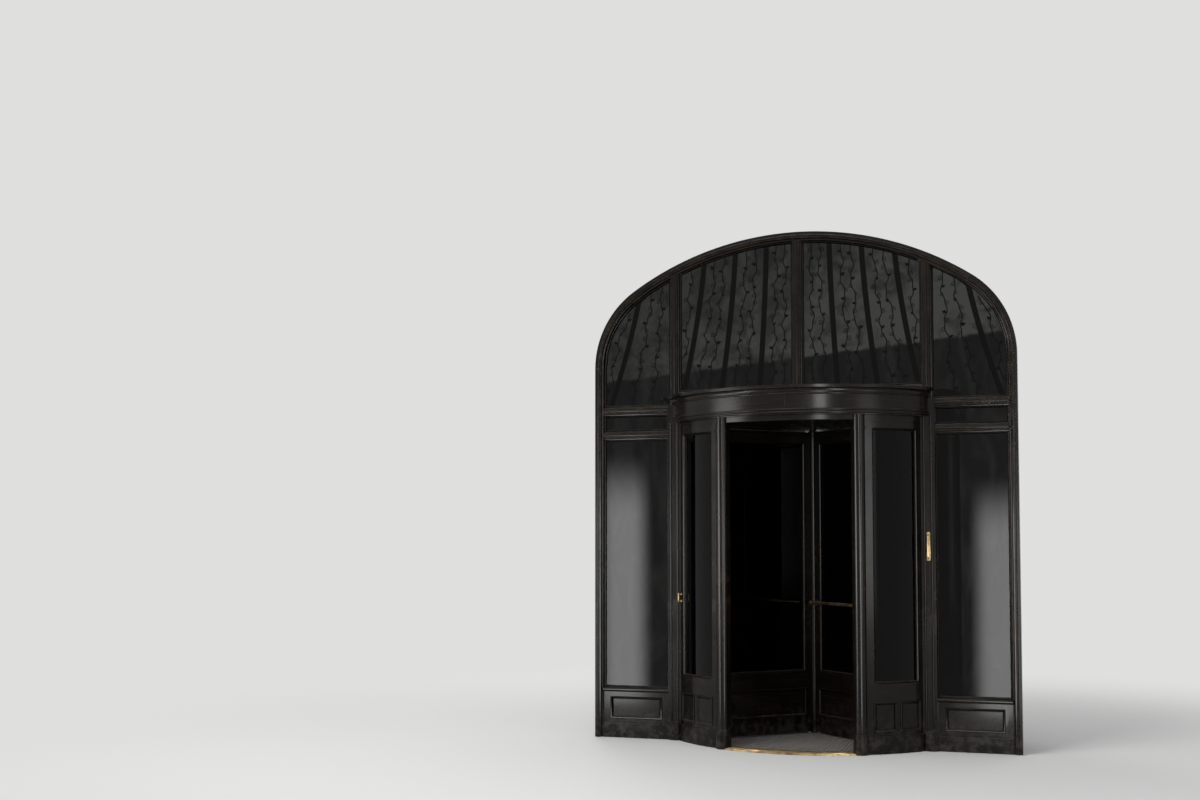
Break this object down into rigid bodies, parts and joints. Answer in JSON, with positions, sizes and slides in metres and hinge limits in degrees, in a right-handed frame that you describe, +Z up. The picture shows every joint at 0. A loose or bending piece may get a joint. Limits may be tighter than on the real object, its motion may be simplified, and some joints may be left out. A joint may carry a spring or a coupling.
{
  "type": "revolving door in an arched timber screen",
  "caption": "Arched timber and glass entrance screen holding a revolving door: a round drum with curved glazed walls and a cornice, and wings that turn on a central shaft.",
  "frame": {"origin": "on the door's turning axis, at floor level", "axes": "+X to the right seen from the street, -Y towards the street, +Z up"},
  "size_m": [3.34, 2.544, 4.0298],
  "materials": {
    "dark_timber": "old dark varnish, nearly black, with a soft gloss",
    "clear_glass": "polished plate glass, dark against the unlit lobby",
    "fanlight_glass": "plate glass with a dusty film, dark against the unlit lobby",
    "wrought_iron": "black paint",
    "aged_brass": "worn and dulled brass",
    "coir_mat": "brushed coir"
  },
  "bodies": {
    "screen": {"arch_frame": "dark_timber", "fanlight_mullions": "dark_timber", "transom_centre": "dark_timber", "side_transom_left": "dark_timber", "side_transom_right": "dark_timber", "fanlight_glass": "fanlight_glass", "fanlight_ribs": "wrought_iron", "side_glass_left": "clear_glass", "side_glass_right": "clear_glass", "dado_left": "dark_timber", "dado_right": "dark_timber", "main_post_left": "dark_timber", "main_post_right": "dark_timber", "drum_post_street_left": "dark_timber", "drum_post_street_right": "dark_timber", "drum_post_lobby_left": "dark_timber", "drum_post_lobby_right": "dark_timber", "wall_street_left": "dark_timber", "wall_street_right": "dark_timber", "wall_lobby_left": "dark_timber", "wall_lobby_right": "dark_timber", "wall_glass_street_left": "clear_glass", "wall_glass_street_right": "clear_glass", "wall_glass_lobby_left": "clear_glass", "wall_glass_lobby_right": "clear_glass", "head_ring": "dark_timber", "cornice_street": "dark_timber", "cornice_lobby": "dark_timber", "drum_ceiling": "dark_timber", "drum_roof": "dark_timber", "top_bearing": "wrought_iron", "floor_pan": "aged_brass", "floor_mat": "coir_mat", "threshold_street": "aged_brass", "threshold_lobby": "aged_brass"},
    "wings": {"shaft": "dark_timber", "wing_1": "dark_timber", "wing_2": "dark_timber", "wing_3": "dark_timber", "wing_4": "dark_timber", "wing_glass_1": "clear_glass", "wing_glass_2": "clear_glass", "wing_glass_3": "clear_glass", "wing_glass_4": "clear_glass", "push_bars": "aged_brass"}
  },
  "joints": [
    {"name": "wings_turn", "type": "hinge", "parent": "screen", "child": "wings", "pos_m": [0, 0, 0], "axis": [0, 0, 1], "continuous": true}
  ]
}
